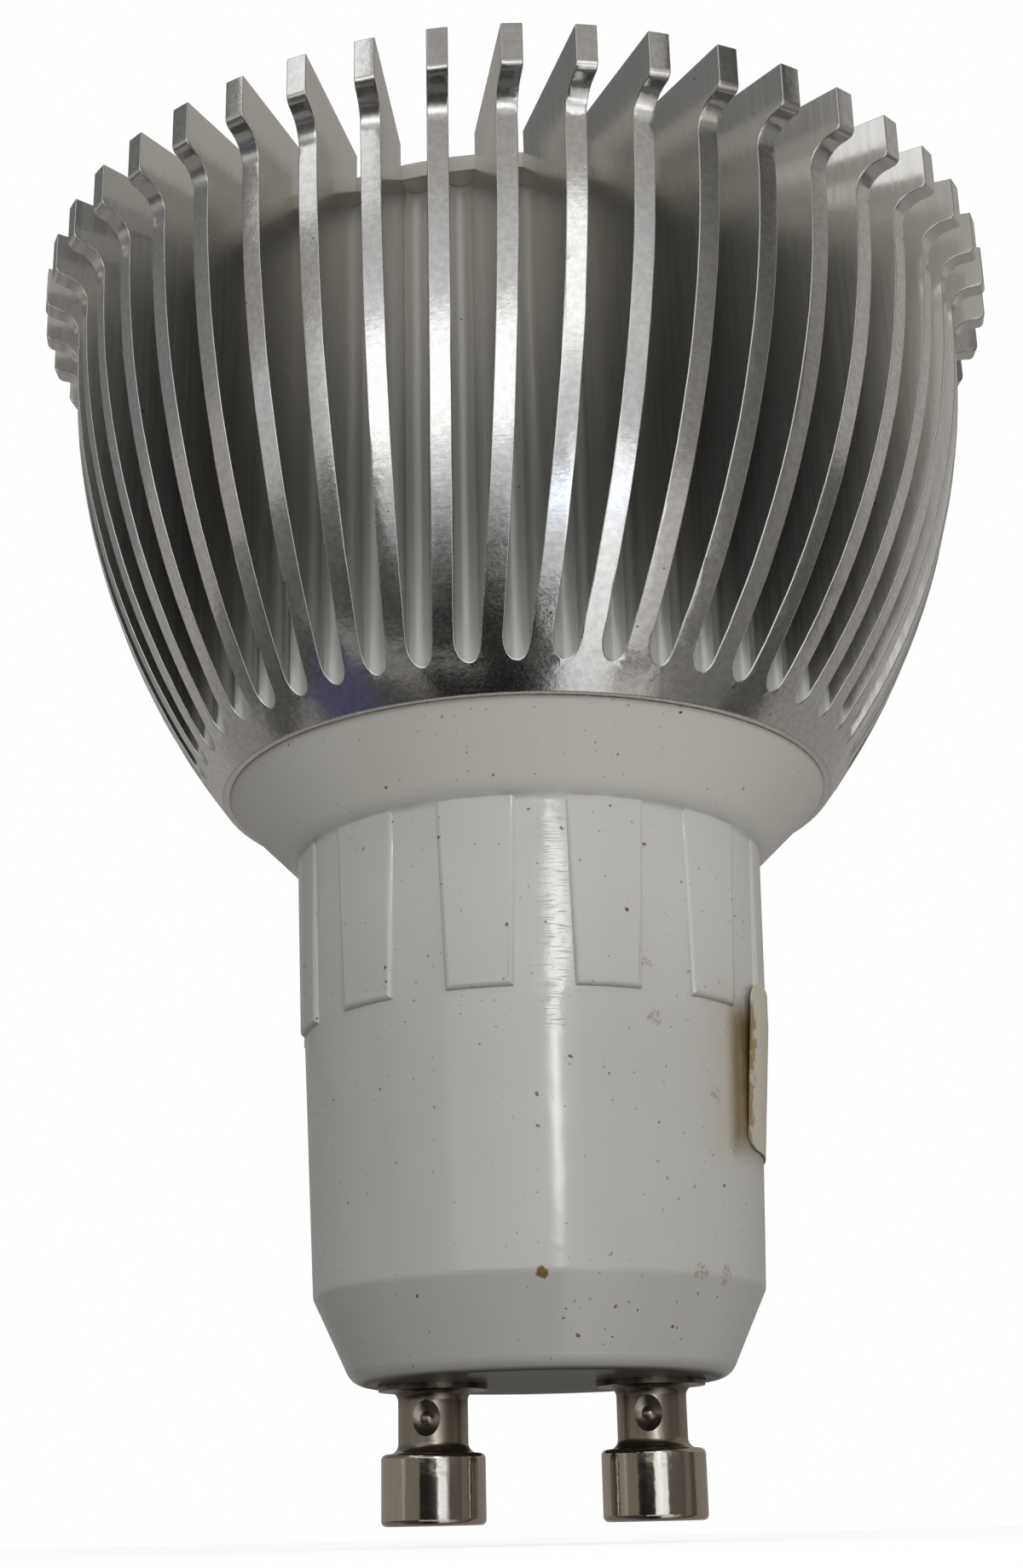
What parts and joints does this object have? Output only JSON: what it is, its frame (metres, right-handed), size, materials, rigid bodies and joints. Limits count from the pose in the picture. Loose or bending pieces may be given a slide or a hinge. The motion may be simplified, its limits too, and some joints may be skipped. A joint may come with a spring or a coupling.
{
  "type": "gu10 spotlight bulb",
  "caption": "Finned aluminium LED spotlight lamp with a white bevelled base and twist-lock contact pins.",
  "frame": {"origin": "centre of the base's underside, midway between the contact pins", "axes": "+Z along the lamp's axis from the pins to the light, X through both pins"},
  "size_m": [0.05, 0.05, 0.0617],
  "materials": {
    "aluminium_turned": "turned and extruded, bare",
    "white_plastic": "glossy moulded, aged",
    "nickel_plate": "nickel plated, polished",
    "label_paper": "matte sticker, bare",
    "plate_aluminium": "satin sheet",
    "lens_acrylic": "clear, polished",
    "black_plastic": "moulded",
    "white_board": "solder mask on aluminium",
    "phosphor": "light source on ceramic",
    "grey_silicone": "soft sheet",
    "screw_steel": "zinc plated",
    "film_plastic": "sheet",
    "circuit_board": "glass-filled board",
    "ferrite": "fired, dark",
    "yellow_tape": "taped winding",
    "can_sleeve": "shrink sleeve",
    "resistor_body": "lacquered",
    "white_insulation": "wire insulation",
    "red_insulation": "wire insulation",
    "black_insulation": "wire insulation"
  },
  "bodies": {
    "root": {"heat_sink": "aluminium_turned", "base_housing": "white_plastic", "contact_pin_left": "nickel_plate", "contact_pin_right": "nickel_plate", "label": "label_paper", "front_plate": "plate_aluminium", "front_screws": "screw_steel", "base_screws": "screw_steel", "thermal_pad": "grey_silicone", "led_board": "white_board", "insulating_disc": "film_plastic", "wire_bush": "film_plastic", "driver_board": "circuit_board", "input_capacitor": "can_sleeve", "output_capacitor": "can_sleeve", "choke": "ferrite", "fuse_resistor": "resistor_body", "transformer_core": "ferrite", "transformer_coil": "yellow_tape", "bridge_rectifier": "black_plastic", "driver_chip": "black_plastic", "output_diode": "black_plastic", "mains_wire_left": "white_insulation", "mains_wire_right": "white_insulation", "dc_wire_positive": "red_insulation", "dc_wire_negative": "black_insulation", "lens_1": "lens_acrylic", "lens_holder_1": "black_plastic", "led_emitter_1": "phosphor", "lens_2": "lens_acrylic", "lens_holder_2": "black_plastic", "led_emitter_2": "phosphor", "lens_3": "lens_acrylic", "lens_holder_3": "black_plastic", "led_emitter_3": "phosphor"}
  },
  "joints": []
}
